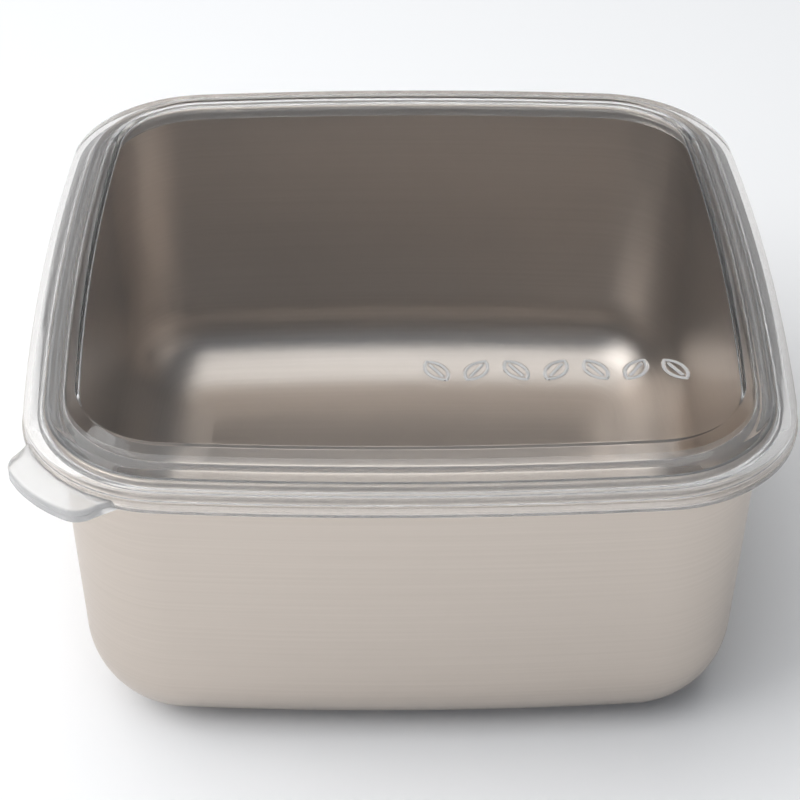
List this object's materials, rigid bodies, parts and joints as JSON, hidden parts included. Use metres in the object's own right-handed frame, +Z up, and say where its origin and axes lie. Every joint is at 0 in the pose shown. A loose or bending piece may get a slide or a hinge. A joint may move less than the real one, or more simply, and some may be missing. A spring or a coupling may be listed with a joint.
{
  "type": "snap lid food container",
  "caption": "Square drawn steel food tub with a rolled rim, and a clear silicone lid that snaps over the rim and has a corner pull tab.",
  "frame": {"origin": "centre of the tub's flat base, on the surface it stands on", "axes": "+Z up out of the tub; -Y is the front; the pull tab is at the -X -Y corner"},
  "size_m": [0.165, 0.165, 0.0833],
  "materials": {
    "steel": "satin, fine horizontal brushing outside and inside",
    "clear_silicone": "clear glossy silicone, slightly milky where it is thick",
    "tab_silicone": "milky translucent silicone, smooth"
  },
  "bodies": {
    "container": {"container": "steel"},
    "lid": {"lid": "clear_silicone"},
    "pull_tab": {"pull_tab": "tab_silicone"}
  },
  "joints": [
    {"name": "lid_lift", "type": "slide", "parent": "container", "child": "lid", "axis": [0, 0, 1], "range_m": [0, 0.1]},
    {"name": "tab_flex", "type": "hinge", "parent": "lid", "child": "pull_tab", "pos_m": [-0.07326, -0.07326, 0.0741], "axis": [-0.7071, 0.7071, 0], "range_deg": [-40, 75], "stiffness_Nm_per_rad": 0.03}
  ]
}
